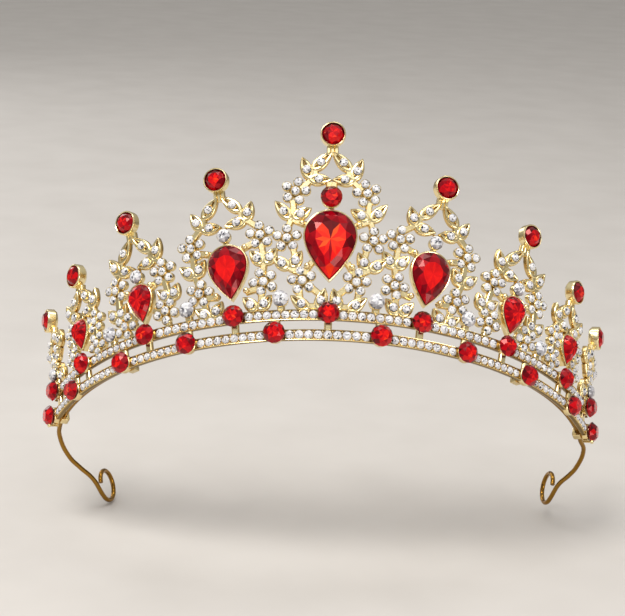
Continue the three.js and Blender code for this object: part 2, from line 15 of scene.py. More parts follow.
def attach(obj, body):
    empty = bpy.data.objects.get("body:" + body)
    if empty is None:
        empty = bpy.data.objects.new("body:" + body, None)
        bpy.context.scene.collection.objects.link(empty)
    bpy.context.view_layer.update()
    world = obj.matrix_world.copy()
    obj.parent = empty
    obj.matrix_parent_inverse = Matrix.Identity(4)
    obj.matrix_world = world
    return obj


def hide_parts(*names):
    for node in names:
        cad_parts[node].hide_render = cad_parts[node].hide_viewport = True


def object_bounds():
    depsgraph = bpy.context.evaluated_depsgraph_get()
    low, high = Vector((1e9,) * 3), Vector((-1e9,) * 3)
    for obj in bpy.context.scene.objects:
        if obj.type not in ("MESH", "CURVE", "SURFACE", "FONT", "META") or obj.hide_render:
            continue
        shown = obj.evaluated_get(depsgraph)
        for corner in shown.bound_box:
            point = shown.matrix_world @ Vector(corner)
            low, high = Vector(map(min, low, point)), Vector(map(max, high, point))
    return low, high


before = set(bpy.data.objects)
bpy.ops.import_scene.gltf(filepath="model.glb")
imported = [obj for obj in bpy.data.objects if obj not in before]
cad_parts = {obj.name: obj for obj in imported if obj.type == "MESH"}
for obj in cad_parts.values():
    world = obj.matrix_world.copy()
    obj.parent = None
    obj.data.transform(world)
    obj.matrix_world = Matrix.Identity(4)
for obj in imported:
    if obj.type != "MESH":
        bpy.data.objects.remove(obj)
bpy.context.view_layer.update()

# ------------------------------------------------------------ dimensions, as in the CAD, mm

WORN_TILT = math.radians(34)
ARCH_RADIUS = 330.0
FRONT_CURVATURE = 0.0107
SIDE_CURVATURE = 3.65e-7
FLARE = math.sin(0.091)
PLATE = 1.6
RAIL_HEIGHT = 2.8
UPPER_RAIL = 5.2
SPIRE_FOOT = UPPER_RAIL + RAIL_HEIGHT
LOWER_RED = 1.9
UPPER_RED = 7.0
LOWER_STATIONS = [13.3, 36.1, 55.6, 75.2]
BAND_END = 90.2
LOWER_RAIL_END = 91.8
SPIRE_STATIONS = [0, 23.3, 47.2, 69.2, 85.4]
SPIRE_LEANS = [math.radians(a) for a in (0, 4, 3, -4, 0)]
UPPER_RAIL_END = 88.0
RED_RADIUS = 2.8
RED_HEIGHT = 2.1
RED_SEAT = 2.2  # how far the rails' red stones stand out of the sheet
TOP_SEAT = 1.75  # and those in the spires' cups
CLEAR_RADIUS = 1.82
CUP_RADIUS = 3.35
CUP_DEPTH = 3.0
PEAR_RIM = 0.55
PEAR_DEPTH = 2.2
LEAF_WIDTH = 3.5
PETALS = 5
PETAL_CUP = 1.35
PETAL_CIRCLE = 2.55
BEAD_RADIUS = 0.84
LINK_WIDTH = 1.8
SMALL_FLOWER = 0.88
SMALL_FLOWER_FROM = 3  # first spire, from the centre, with the smaller flowers
WIRE_RADIUS = 0.65
GAP = 0.3

# Leaves are base u, h and tip u, h; flowers u, h and the angle of one petal; links are bars.
SPIRES = [
    {
        "top": 54.8,
        "pear": (24.9, 13, 18),
        "accent": (37.7, True),
        "leaves": [
            (5.0, 45.0, -0.2, 50.4), (5.2, 42.4, 7.6, 48.9), (5.9, 42.7, -0.3, 42.6),
            (9.9, 31.7, 14.2, 37.0), (9.7, 31.9, 4.6, 35.0),
            (9.9, 18.6, 14.6, 22.1), (9.7, 18.6, 6.9, 23.6),
            (2.7, 7.7, 0.9, 13.9), (4.6, 7.7, 9.8, 11.7),
        ],
        "flowers": [(8.9, 39.4, 104), (10.8, 26.8, 89), (6.8, 15.6, 78)],
        "beads": [(7.1, 30.7), (5.6, 19.4)],
        "links": [
            (4.2, 45.3, 4.0, 41.4), (5.4, 42.2, 7.6, 40.0), (9.8, 32.0, 10.8, 29.3), (9.6, 36.9, 9.0, 32.6),
            (9.4, 24.9, 8.5, 21.2), (9.2, 19.1, 10.6, 19.1), (9.8, 18.8, 7.3, 17.7), (7.5, 13.3, 7.0, 9.5),
            (2.4, 8.9, 5.4, 8.9), (2.4, 12.2, 4.6, 14.0), (9.8, 32.0, 5.2, 30.1), (4.4, 20.6, 6.5, 17.3),
            (0.6, 38.7, 0.6, 42.0),
        ],
    },
    {
        "top": 44.2,
        "pear": (18.9, 10, 14),
        "accent": (28.8, False),
        "leaves": [
            (5.2, 34.6, 0.3, 39.8), (5.7, 31.7, 8.1, 37.2), (6.2, 32.1, 0.1, 31.6),
            (9.2, 19.5, 13.0, 23.6), (9.0, 19.5, 5.8, 24.0),
            (5.9, 7.7, 2.6, 12.0), (6.1, 7.7, 10.2, 11.4),
        ],
        "flowers": [(9.1, 27.6, 90), (8.4, 15.1, 105)],
        "beads": [(4.9, 25.0), (3.9, 13.4)],
        "links": [
            (4.8, 35.1, 5.6, 31.9), (5.9, 32.4, 8.6, 30.1), (9.1, 25.1, 9.1, 19.9), (9.1, 19.7, 8.4, 17.2),
            (7.6, 12.8, 7.0, 8.9), (4.0, 24.8, 7.4, 25.9), (3.6, 13.2, 6.6, 13.6), (4.8, 8.9, 7.2, 8.9),
        ],
    },
    {
        "top": 39.1,
        "pear": (15.9, 7, 10),
        "accent": (23.4, False),
        "leaves": [
            (5.0, 29.0, 0.3, 34.8), (5.6, 26.2, 8.1, 32.1), (5.9, 26.7, 0.1, 26.0),
            (8.6, 14.0, 11.2, 18.3), (8.4, 14.0, 4.8, 18.1),
        ],
        "flowers": [(7.5, 22.5, 90), (6.4, 11.8, 120)],
        "beads": [(3.6, 20.0)],
        "links": [
            (4.6, 29.4, 5.4, 26.4), (5.7, 26.9, 7.4, 24.8), (7.4, 20.2, 8.0, 14.7), (3.2, 19.5, 6.0, 20.8),
            (6.4, 9.7, 6.4, 7.4), (3.0, 13.1, 5.4, 11.8), (8.4, 14.3, 7.4, 12.6),
        ],
    },
    {
        "top": 32.6,
        "pear": (15.5, 5.5, 8),
        "leaves": [(4.2, 23.8, 0.3, 28.6), (4.7, 21.3, 6.9, 26.7), (4.9, 21.7, 0.1, 21.1)],
        "flowers": [(5.4, 17.4, 90), (5.3, 11.1, 54)],
        "beads": [],
        "links": [
            (3.9, 24.2, 4.6, 21.5), (4.7, 22.0, 5.4, 19.5), (5.4, 15.4, 5.3, 12.9), (2.4, 16.4, 4.0, 16.8),
            (5.3, 9.3, 5.0, 7.4), (0.0, 19.3, 0.0, 21.3),
        ],
    },
    {
        "top": 29.5,
        "accent": (11.9, False),
        "leaves": [
            (3.8, 20.9, 0.3, 25.5), (4.2, 18.5, 5.9, 23.4), (4.4, 18.9, 0.1, 18.7), (2.6, 8.0, 5.4, 12.1),
        ],
        "flowers": [(0.0, 16.0, 90)],
        "beads": [(3.3, 13.3)],
        "links": [
            (3.5, 21.3, 4.0, 18.9), (4.1, 18.7, 2.2, 16.6), (0.0, 17.8, 0.0, 19.1), (1.4, 14.2, 3.4, 13.3),
            (3.3, 13.3, 4.0, 10.3), (1.2, 12.3, 3.6, 9.7), (2.9, 8.8, 2.6, 7.4), (0.0, 14.0, 0.0, 11.9),
        ],
    },
]

# ------------------------------------------------------------ pattern to worn shape


def heading(run):
    """How far the band has turned back, in radians, at a run along it from the centre."""
    return FRONT_CURVATURE * run + SIDE_CURVATURE * run**3


def plan_point(run):
    """Where runs along the front end up, seen from above, by Simpson's rule."""
    panels = 40
    weight = np.where(np.arange(panels + 1) % 2 == 1, 4.0, 2.0)
    weight[[0, -1]] = 1.0
    angle = heading(np.linspace(0, 1, panels + 1)[:, None] * run)
    step = run / panels / 3
    across = (weight[:, None] * np.cos(angle)).sum(0) * step
    back = (weight[:, None] * np.sin(angle)).sum(0) * step
    return across, back, heading(run)


def worn(points, station=0.0, lean=0.0):
    """Points u, h, w beside a station of the arch, in mm, to metres in the part's frame."""
    u, h, w = np.asarray(points, float).reshape(-1, 3).T
    rise = h - SPIRE_FOOT
    u, h = (
        u * math.cos(lean) + rise * math.sin(lean),
        SPIRE_FOOT + rise * math.cos(lean) - u * math.sin(lean),
    )
    angle = np.asarray(station, float) / ARCH_RADIUS
    x = (ARCH_RADIUS + h) * np.sin(angle) + u * np.cos(angle)
    y = (ARCH_RADIUS + h) * np.cos(angle) - u * np.sin(angle) - ARCH_RADIUS
    across, back, turn = plan_point(np.abs(x))
    out = w + (np.hypot(x, y + ARCH_RADIUS) - ARCH_RADIUS) * FLARE
    bent_x = np.sign(x) * (across + np.sin(turn) * out)
    bent_y = back - np.cos(turn) * out
    c, s = math.cos(WORN_TILT), math.sin(WORN_TILT)
    return np.stack([bent_x, bent_y * c + y * s, -bent_y * s + y * c], 1) / 1000


def frame_at(station, lean, u, h, w, turn=0.0):
    """4x4 matrix that stands a rigid shape, in mm, on the sheet, turned in it by an angle."""
    step = 0.4
    c, s = step * math.cos(turn), step * math.sin(turn)
    probe = worn(
        [(u, h, w), (u + c, h + s, w), (u - c, h - s, w), (u - s, h + c, w), (u + s, h - c, w)],
        station,
        lean,
    )
    ex = probe[1] - probe[2]
    ex /= np.linalg.norm(ex)
    ez = np.cross(ex, probe[3] - probe[4])
    ez /= np.linalg.norm(ez)
    matrix = np.eye(4)
    matrix[:3, :3] = np.stack([ex, np.cross(ez, ex), ez], 1) / 1000
    matrix[:3, 3] = probe[0]
    return matrix


# ------------------------------------------------------------ shapes: points, faces, shade
#
# A metal shape's shade is one number a point, painted shade and highlight: 0, painted dark, in a recess
# where
# # shade falls, and 1, painted bright, on a rim that catches the light. A gem's shade is one number a face,
# painted
# # light: from 0, a facet painted dark, to 1, a facet painted with the light that it would throw back.


def loft(rings, shades):
    """A closed skin over rings of equally many points."""
    n = len(rings[0])
    points = np.concatenate([np.asarray(r, float) for r in rings])
    shade = np.repeat(np.asarray(shades, float), n)
    faces = []
    for k in range(len(rings) - 1):
        for i in range(n):
            j = (i + 1) % n
            faces.append((k * n + i, k * n + j, (k + 1) * n + j, (k + 1) * n + i))
    faces.append(tuple(reversed(range(n))))
    faces.append(tuple(range((len(rings) - 1) * n, len(rings) * n)))
    return points, faces, shade


def flipped(faces):
    """The same faces, seen from the other side."""
    return [tuple(reversed(face)) for face in faces]


def lathe(profile, sides):
    """A turned shape. The profile is radius, height, shade from the outside of the back to the front."""
    angle = np.arange(sides) * 2 * math.pi / sides
    circle = np.stack([np.cos(angle), np.sin(angle)], 1)
    rings = [np.column_stack([r * circle, np.full(sides, z)]) for r, z, _ in profile]
    return loft(rings, [s for _, _, s in profile])


def cup_shape(radius, depth, sides=18):
    """A round setting: a shallow dimple on its back, a thin rolled rim, and a bed for the stone."""
    # The bed is painted dark as shade and the rolled rim painted bright as highlight.
    return lathe(
        [
            (0.55 * radius, 0.16, 0.3), (0.78 * radius, 0.02, 0.6), (0.93 * radius, 0.05, 0.8),
            (radius, 0.25, 0.7), (radius, depth - 0.3, 0.8), (radius - 0.03, depth - 0.1, 1.0),
            (radius - 0.12, depth, 1.0), (radius - 0.2, depth - 0.08, 0.8),
            (radius - 0.24, depth - 0.4, 0.0), (0.3 * radius, depth - 0.45, 0.0),
        ],
        sides,
    )


def drum_shape():
    """The deep polished cup on a spire's top."""
    r, d = CUP_RADIUS, CUP_DEPTH
    # The inside of the cup is painted dark as shade and its lip painted bright as highlight.
    return lathe(
        [
            (1.5, 0.3, 0.4), (1.9, 0.06, 0.7), (2.4, 0.0, 0.9), (2.8, 0.12, 0.9), (3.02, 0.4, 0.9),
            (r, 0.8, 0.9), (r, d - 0.55, 0.95), (r - 0.03, d - 0.25, 1.0), (r - 0.13, d - 0.06, 1.0),
            (r - 0.27, d, 1.0), (r - 0.4, d - 0.08, 0.9), (r - 0.47, d - 0.4, 0.5), (r - 0.6, 1.4, 0.0),
            (1.0, 1.4, 0.0),
        ],
        40,
    )


def bead_shape(radius):
    """A cast ball on a low collar."""
    middle = 1.08 * PLATE
    profile = [(0.9 * radius, 0.0, 0.4), (0.72 * radius, 0.5, 0.3)]
    for degrees in (-50, -30, -10, 10, 30, 50, 68, 82):
        out, up = math.cos(math.radians(degrees)), math.sin(math.radians(degrees))
        # Painted light: the ball is painted lighter towards its top and darker below it.
        profile.append((radius * out, middle + radius * up, 0.55 + 0.45 * up))
    return lathe(profile, 18)


def leaf_outline(length, inset, z, n=28):
    """A teardrop leaf, round at its base and pointed at its tip, drawn in by an inset."""
    belly = 0.4
    t = 0.5 - 0.5 * np.cos(np.pi * np.arange(n // 2 + 1) / (n // 2))
    base_part = np.clip((belly - t) / belly, 0, 1)
    tip_part = np.clip((t - belly) / (1 - belly), 0, 1)
    base_width = (1 - base_part**2.2) ** 0.62
    tip_width = np.cos(tip_part * np.pi / 2) ** 0.82
    half = LEAF_WIDTH / 2 * np.where(t < belly, base_width, tip_width)
    half[[0, -1]] = 0.0
    loop = np.concatenate([np.stack([t, half], 1)[::-1], np.stack([t, -half], 1)[1:-1]])
    shrink_x = max(0.05, (length - 1.5 * inset) / length)
    shrink_y = max(0.04, 1 - 2 * inset / LEAF_WIDTH)
    x = length * (0.5 + 0.12 * (1 - shrink_x) + (loop[:, 0] - 0.5) * shrink_x)
    return np.stack([x, loop[:, 1] * shrink_y, np.full(len(loop), z)], 1)


def leaf_shape(length):
    """A cast leaf: broad rounded shoulders that run down to a narrow crease along its middle."""
    # The shoulders are painted bright as highlight and the crease painted dark as shade.
    steps = [
        (0.22, 0.02, 0.4), (0.05, 0.12, 0.4), (0.0, 0.35, 0.4), (0.0, 1.0, 0.5), (0.07, 1.26, 0.75),
        (0.22, 1.45, 0.95), (0.5, 1.58, 1.0), (0.9, 1.56, 1.0), (1.25, 1.46, 0.9), (1.42, 1.25, 0.5),
        (1.6, 1.0, 0.2),
    ]
    return loft([leaf_outline(length, inset, z) for inset, z, _ in steps], [s for _, _, s in steps])


def bar_shape(length, width, height=PLATE - 0.15, low=0.0):
    """A cast branch with a rounded front, from the origin along x."""
    shoulder = low + 0.6 * (height - low)
    # The sides are painted darker and the rounded front painted bright as highlight.
    side = [  # share of the half width, height and shade, up one side
        (0.85, low, 0.5), (1.0, low + 0.15, 0.5), (1.0, shoulder, 0.6), (0.85, height - 0.2, 0.9),
        (0.6, height, 1.0),
    ]
    section = [(-y, z, v) for y, z, v in side] + side[::-1]
    rings = [[(x, y * width / 2, z) for y, z, _ in section] for x in (0.0, length)]
    points, faces, _ = loft(rings, [0, 0])
    return points, flipped(faces), np.array([v for _, _, v in section] * 2)


def rosette_shape(size):
    """The thin five-lobed plate that carries a flower's six cups."""
    around = 50
    angle = np.arange(around) * 2 * math.pi / around
    radius = size * (2.55 + 0.85 * np.cos(PETALS * angle))
    rim = np.stack([radius * np.cos(angle), radius * np.sin(angle)], 1)
    # The front, between the cups, is painted dark as shade.
    steps = [(0.97, 0.0, 0.4), (1.0, 0.12, 0.5), (1.0, 0.62, 0.5), (0.95, 0.78, 0.25)]
    rings = [np.column_stack([rim * scale, np.full(around, z)]) for scale, z, _ in steps]
    return loft(rings, [s for _, _, s in steps])


def pear_curve(width, length, n):
    """A drop with a round top and a point at the bottom, anticlockwise from the point."""
    radius = width / 2
    round_centre, point = length / 2 - radius, -length / 2
    shoulder = round_centre - 0.42 * (round_centre - point)
    t = np.linspace(0, 1, 60)
    out = 2 * t * (1 - t) * 0.98 * radius + t * t * radius
    up = (1 - t) ** 2 * point + 2 * t * (1 - t) * shoulder + t * t * round_centre
    side = np.stack([out, up], 1)
    arc = np.linspace(0, math.pi, 60)[1:-1]
    top = np.stack([radius * np.cos(arc), round_centre + radius * np.sin(arc)], 1)
    loop = np.concatenate([side, top, side[::-1] * [-1, 1]])
    reach = np.concatenate([[0], np.cumsum(np.linalg.norm(np.diff(loop, axis=0), axis=1))])
    even = np.arange(n) / n * reach[-1]
    return np.stack([np.interp(even, reach, loop[:, 0]), np.interp(even, reach, loop[:, 1])], 1)


def bezel_shape(width, length, n=64):
    """The thin metal wall round a pear stone, with a closed back."""
    rim, top = PEAR_RIM, PEAR_DEPTH
    # The inside is painted dark as shade and the rim painted bright as highlight.
    steps = [
        (-0.1, 0.0, 0.6), (rim - 0.08, 0.04, 0.7), (rim, 0.25, 0.8), (rim, top - 0.3, 0.9),
        (rim - 0.08, top - 0.08, 1.0), (rim - 0.25, top, 1.0), (rim - 0.42, top - 0.08, 0.9),
        (rim - 0.5, top - 0.4, 0.3), (0.0, 0.9, 0.0),
    ]
    rings = []
    for grow, z, _ in steps:
        loop = pear_curve(width + 2 * grow, length + 2.4 * grow, n)
        rings.append(np.column_stack([loop, np.full(n, z)]))
    return loft(rings, [s for _, _, s in steps])


# ------------------------------------------------------------ gems


def gem_shape(
    outline, corners, height, seed, look, girdle=0.38, table=0.56, culet=(0.0, 0.0), back=0.75
):
    """A cut stone: flat back, girdle, kites, stars and a flat table cut into facets, painted to show the
    pavilion below it.

    outline(turn, scale) gives a point of the girdle, drawn in by a scale. look gives a facet's
    painted light from its kind, its place in the stone, from -1 to 1, and a random number from 0 to 1.
    """
    draw = np.random.RandomState(seed)
    sides = 2 * corners
    low = girdle * height
    points, ring = [], {}

    def add_ring(name, turns, scale, z):
        ring[name] = list(range(len(points), len(points) + len(turns)))
        points.extend((*outline(turn, scale), z) for turn in turns)

    corner_turns = [k / corners for k in range(corners)]
    between = [(k + 0.5) / corners for k in range(corners)]
    all_turns = [k / sides for k in range(sides)]
    add_ring("back", all_turns, back, 0.0)
    add_ring("girdle_low", all_turns, 1.0, low - 0.06 * height)
    add_ring("girdle", all_turns, 1.0, low)
    add_ring("star", between, (1 + table) / 2 + 0.02, low + 0.62 * (height - low))
    add_ring("table", corner_turns, table, height)
    add_ring("inner", between, table * 0.52, height)
    tip = len(points)
    points.append((*culet, height))
    places = np.array(points, float)
    reach = np.abs(places[:, :2]).max(0)
    faces, shade = [], []

    def face(corner_list, value):
        faces.append(tuple(corner_list))
        shade.append(min(1.0, max(0.0, value)))

    def facet(part, *corner_list):
        x, y = places[list(corner_list), :2].mean(0) / reach
        face(corner_list, look(part, x, y, draw.rand()))

    girdle_ring, lower, bottom = ring["girdle"], ring["girdle_low"], ring["back"]
    star, top, inner = ring["star"], ring["table"], ring["inner"]
    for k in range(sides):
        j = (k + 1) % sides
        face((bottom[k], bottom[j], lower[j], lower[k]), 0.15)
        face((lower[k], lower[j], girdle_ring[j], girdle_ring[k]), 0.5)
    face(tuple(reversed(bottom)), 0.1)
    for k in range(corners):
        after, before = (k + 1) % corners, (k - 1) % corners
        here, middle, beyond = (girdle_ring[(2 * k + i) % sides] for i in range(3))
        facet("crown", star[before], here, star[k], top[k])
        facet("crown", top[k], star[k], top[after])
        facet("edge", here, middle, star[k])
        facet("edge", middle, beyond, star[k])
        facet("table", top[k], top[after], inner[k])
        facet("heart", inner[before], top[k], inner[k], tip)
    return places, faces, np.array(shade)


def clear_look(part, x, y, chance):
    """Painted light on a white stone: lighter at the top, a grey border painted as shade, and a few facets
    painted dark, as if they threw back the dark.
    """
    if chance < (0.30 if part == "heart" else 0.10):
        return chance * 0.6
    base = {"edge": 0.56, "crown": 0.80, "table": 0.90, "heart": 0.78}[part]
    return base + 0.10 * y + 0.6 * (chance - 0.55)


def large_clear_look(part, x, y, chance):
    """A brilliant's checker of facets painted bright and grey as reflections, lighter at the top and dark
    here and there at its heart.
    """
    if part == "heart" and chance < 0.25:
        return chance
    base = {"edge": 0.52, "crown": 0.66, "table": 0.74, "heart": 0.66}[part]
    return base + 0.08 * y + 0.75 * (chance - 0.5)


def red_look(part, x, y, chance):
    """Light enters high and leaves low, so the bottom of the stone glows."""
    base = {"edge": 0.24, "crown": 0.36, "table": 0.52, "heart": 0.62}[part]
    return base - 0.22 * y + 0.5 * (chance - 0.5)


def pear_look(part, x, y, chance):
    """Painted reflections: broad bright facets to both sides of the heart, a dark wedge above it and
    painted sparks at the point.
    """
    if part in ("edge", "crown"):
        return 0.30 - 0.16 * y + 0.42 * (chance - 0.5) + (0.25 if y < -0.55 else 0.0)
    steep = math.atan2(y, abs(x) + 1e-6)
    if steep > 1.15:
        return 0.10 + 0.12 * chance
    if steep > -0.55:
        return 0.78 + 0.22 * chance if part == "heart" else 0.62 + 0.24 * chance
    return 0.35 + 0.5 * chance


def broad_pear_look(part, x, y, chance):
    """Painted light: one broad table painted glowing inside a dark border."""
    if part in ("edge", "crown"):
        return 0.32 - 0.10 * y + 0.40 * (chance - 0.5)
    return 0.63 + 0.12 * chance - 0.06 * y


def small_pear_look(part, x, y, chance):
    """A fine mosaic of facets painted dark and bright as reflections, painted brightest at the point."""
    base = {"edge": 0.40, "crown": 0.46, "table": 0.50, "heart": 0.56}[part]
    return base - 0.12 * y + 0.55 * (chance - 0.5)


PEAR_CENTRE = 0.06  # how far a pear stone's heart is above its middle, as a share of its length


def round_outline(radius):
    """A round girdle. The turn goes from 0 to 1 once round."""

    def outline(turn, scale):
        angle = 2 * math.pi * turn + 0.3
        return radius * scale * math.cos(angle), radius * scale * math.sin(angle)

    return outline


def pear_outline(width, length):
    """A pear's girdle. The turn starts at the point."""
    steps = 360
    loop = pear_curve(width, length, steps)
    centre = np.array([0.0, PEAR_CENTRE * length])

    def outline(turn, scale):
        place = (turn % 1.0) * steps
        low = int(place) % steps
        point = loop[low] + (loop[(low + 1) % steps] - loop[low]) * (place - int(place))
        return tuple(centre + (point - centre) * scale)

    return outline


# ------------------------------------------------------------ pieces


class Batch:
    """Shapes gathered into one mesh, each placed by a matrix or already in metres."""

    def __init__(self):
        self.points, self.faces, self.shade, self.count = [], [], [], 0

    def add(self, shape, matrix=None):
        points, faces, shade = shape
        if matrix is not None:
            points = points @ matrix[:3, :3].T + matrix[:3, 3]
        self.points.append(points)
        self.faces += [tuple(i + self.count for i in f) for f in faces]
        self.shade.append(shade)
        self.count += len(points)

    def build(self, name, material, domain):
        mesh = bpy.data.meshes.new(name)
        mesh.from_pydata(np.concatenate(self.points).tolist(), [], self.faces)
        mesh.validate()
        shade = mesh.attributes.new("shade", "FLOAT", domain)
        shade.data.foreach_set("value", np.concatenate(self.shade).astype(np.float32))
        mesh.materials.append(material)
        smooth = domain == "POINT"
        mesh.polygons.foreach_set("use_smooth", [smooth] * len(mesh.polygons))
        if smooth:
            mesh.set_sharp_from_angle(angle=math.radians(38))
        piece = bpy.data.objects.new(name, mesh)
        bpy.context.scene.collection.objects.link(piece)
        return piece


def keep(piece, slot, *nodes):
    """The piece rides on the tiara and stands for CAD nodes. Its slot is not used."""
    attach(piece, "root")
    if nodes:
        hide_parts(*nodes)
    return piece


# ------------------------------------------------------------ materials


def fill_ramp(node, stops):
    """Gives a colour ramp its stops, each a place and a colour."""
    elements = node.color_ramp.elements
    while len(elements) < len(stops):
        elements.new(0.5)
    for element, (place, colour) in zip(elements, stops):
        element.position = place
        element.color = (*colour, 1.0)


class Nodes:
    """A short way to write a node material."""

    def __init__(self, name):
        self.material = bpy.data.materials.new(name)
        self.material.use_nodes = True
        self.tree = self.material.node_tree
        self.shader = self.tree.nodes["Principled BSDF"]

    def add(self, kind, **values):
        node = self.tree.nodes.new(kind)
        for key, value in values.items():
            if hasattr(node, key):
                setattr(node, key, value)
            else:
                node.inputs[key.replace("_", " ")].default_value = value
        return node

    def link(self, out, into):
        self.tree.links.new(out, into)

    def noise(self, scale, detail):
        where = self.add("ShaderNodeTexCoord")
        noise = self.add("ShaderNodeTexNoise", Scale=scale, Detail=detail)
        self.link(where.outputs["Object"], noise.inputs["Vector"])
        return noise.outputs["Fac"]

    def ramp(self, source, stops):
        """Stops are a place and either a colour or a grey."""
        node = self.add("ShaderNodeValToRGB")
        fill_ramp(node, [(place, c if hasattr(c, "__len__") else (c, c, c)) for place, c in stops])
        self.link(source, node.inputs["Fac"])
        return node.outputs["Color"]

    def multiply(self, a, b):
        node = self.add("ShaderNodeMix", data_type="RGBA", blend_type="MULTIPLY")
        factor, first, second = node.inputs[0], node.inputs[6], node.inputs[7]
        factor.default_value = 1.0
        self.link(a, first)
        self.link(b, second)
        return node.outputs[2]

    def shade(self):
        return self.add("ShaderNodeAttribute", attribute_name="shade").outputs["Fac"]

    def bump(self, source, strength, distance):
        node = self.add("ShaderNodeBump", Strength=strength, Distance=distance)
        self.link(source, node.inputs["Height"])
        self.link(node.outputs["Normal"], self.shader.inputs["Normal"])

    def set(self, **values):
        for key, value in values.items():
            self.shader.inputs[key.replace("_", " ")].default_value = value


def metal(name, recess_shade, body, rim, rough_low, rough_high, grain):
    """Plated metal: painted deeper and duller in its recesses as shade and brighter on its rims as
    highlight, with cloudy polish and a fine cast grain.
    """
    m = Nodes(name)
    m.set(Metallic=1.0)
    # Painted shade and highlight: the darkest colour in recesses, the brightest on rims, by each point's
    # shade.
    relief_shade = m.ramp(m.shade(), [(0.0, recess_shade), (0.5, body), (0.95, rim)])
    cloud = m.noise(260.0, 3.0)
    tint = m.ramp(cloud, [(0.3, (0.90, 0.84, 0.74)), (0.7, (1.0, 1.0, 1.0))])
    m.link(m.multiply(relief_shade, tint), m.shader.inputs["Base Color"])
    polish = m.ramp(m.noise(700.0, 4.0), [(0.3, rough_low), (0.75, rough_high)])
    m.link(polish, m.shader.inputs["Roughness"])
    m.bump(m.noise(grain, 3.0), 0.25, 0.00006)
    return m.material


def glass(name, stops, tint):
    """Foil-backed cut glass: each facet is painted with its own share of reflected light, under a clear
    gloss.
    """
    m = Nodes(name)
    m.set(Roughness=0.06, IOR=1.5, Specular_Tint=(*tint, 1.0))
    m.set(Coat_Weight=0.5, Coat_Roughness=0.02, Coat_IOR=1.3)
    cloud = m.ramp(m.noise(420.0, 1.0), [(0.35, 0.86), (0.65, 1.0)])
    m.link(m.multiply(m.ramp(m.shade(), stops), cloud), m.shader.inputs["Base Color"])
    return m.material


# Each metal's darkest colour is painted shade for its recesses and its brightest a painted highlight for
# its rims.
GOLD = metal(
    "pale_gold", recess_shade=(0.10, 0.055, 0.012), body=(0.80, 0.59, 0.25), rim=(1.0, 0.87, 0.52),
    rough_low=0.16, rough_high=0.28, grain=1500.0,
)
BRASS = metal(
    "drawn_brass", recess_shade=(0.34, 0.18, 0.03), body=(0.62, 0.38, 0.09), rim=(0.80, 0.55, 0.20),
    rough_low=0.10, rough_high=0.20, grain=2400.0,
)
# Ruby stops run from a facet painted dark to a painted orange glint.
RUBY = glass(
    "ruby_glass",
    [
        (0.0, (0.035, 0.0, 0.002)), (0.28, (0.20, 0.0, 0.006)), (0.55, (0.56, 0.001, 0.008)),
        (0.8, (0.95, 0.012, 0.008)), (1.0, (1.0, 0.11, 0.015)),
    ],
    (1.0, 0.22, 0.20),
)
# Clear stops run from a facet painted dark to a painted white reflection.
CLEAR = glass(
    "clear_glass",
    [
        (0.0, (0.02, 0.02, 0.025)), (0.2, (0.16, 0.16, 0.18)), (0.45, (0.44, 0.44, 0.48)),
        (0.7, (0.78, 0.78, 0.84)), (0.95, (1.0, 1.0, 1.0)),
    ],
    (1.0, 1.0, 1.0),
)

# ------------------------------------------------------------ stones

SEEDS = {"small": 0, "rail": 40, "accent": 60, "between": 80, "red": 100, "pear": 200}
RED_WIDER = 0.06  # by how much a round red stone's radius is over the CAD's
PEAR_WIDER = 0.05  # and a pear's rim on each side
PEAR_HEIGHT = 3.0
PEAR_SEAT = 0.95
BETWEEN_RADIUS = 2.08
PEAR_CUTS = [  # corners, look and table size, from the centre outwards
    (12, pear_look, 0.62),
    (12, broad_pear_look, 0.54),
    (16, small_pear_look, 0.6),
    (14, small_pear_look, 0.6),
]


def small_stones(radius, kind, cuts=12):
    """Small clear stones of one size, each cut a little differently."""
    outline = round_outline(radius)
    return [
        gem_shape(outline, 6, 0.85, SEEDS[kind] + cut, clear_look, table=0.5) for cut in range(cuts)
    ]


SMALL_STONES = small_stones(1.12, "small")
RAIL_STONES = small_stones(1.0, "rail")  # scaled to the room that each has


def pick(shapes, key):
    """One of several cuts, chosen by a number that differs from stone to stone."""
    return shapes[(key * 7 + key // 5) % len(shapes)]


def stone(node, slot, material, shape, place, replaces=True):
    """A large stone as a piece of its own, named after the CAD node that it stands for, if any."""
    batch = Batch()
    batch.add(shape, frame_at(*place))
    keep(batch.build(node + "_gem", material, "FACE"), slot, *([node] if replaces else []))


def red_round(node, station, lean, h, w, seed):
    outline = round_outline(RED_RADIUS + RED_WIDER)
    shape = gem_shape(outline, 8, RED_HEIGHT + GAP, SEEDS["red"] + seed, red_look)
    turn = (seed * 0.37) % 0.7
    stone(node, "red_glass", RUBY, shape, (station, lean, 0.0, h, w - GAP, turn))


def red_pear(node, where, pear, index):
    h, width, length = pear
    corners, look, table = PEAR_CUTS[index]
    outline = pear_outline(width + 2 * PEAR_WIDER, length + 2 * PEAR_WIDER)
    shape = gem_shape(
        outline, corners, PEAR_HEIGHT, SEEDS["pear"] + index, look, girdle=0.46, table=table,
        culet=(0.0, PEAR_CENTRE * length), back=0.9,
    )
    stone(node, "red_glass", RUBY, shape, (*where, 0.0, h, PEAR_SEAT))


# ------------------------------------------------------------ spires

FLOWER_CENTRE_CUP = 1.28
FLOWER_CENTRE_DEPTH = 1.75
PETAL_DEPTH = 1.5
PETAL_STONE_SUNK = 0.42
LEAF_STONE = 0.43  # place of a leaf's stone, as a share of its length
LEAF_CUP = 1.32
LEAF_CUP_DEPTH = 1.8
LEAF_STONE_SEAT = 1.46
TOP_RODS = (-0.95, 0.0, 0.95)  # the rods side by side under a spire's cup


def side_name(stem, side, index):
    return f"{stem}_centre" if index == 0 else f"{stem}_{'left' if side < 0 else 'right'}_{index}"


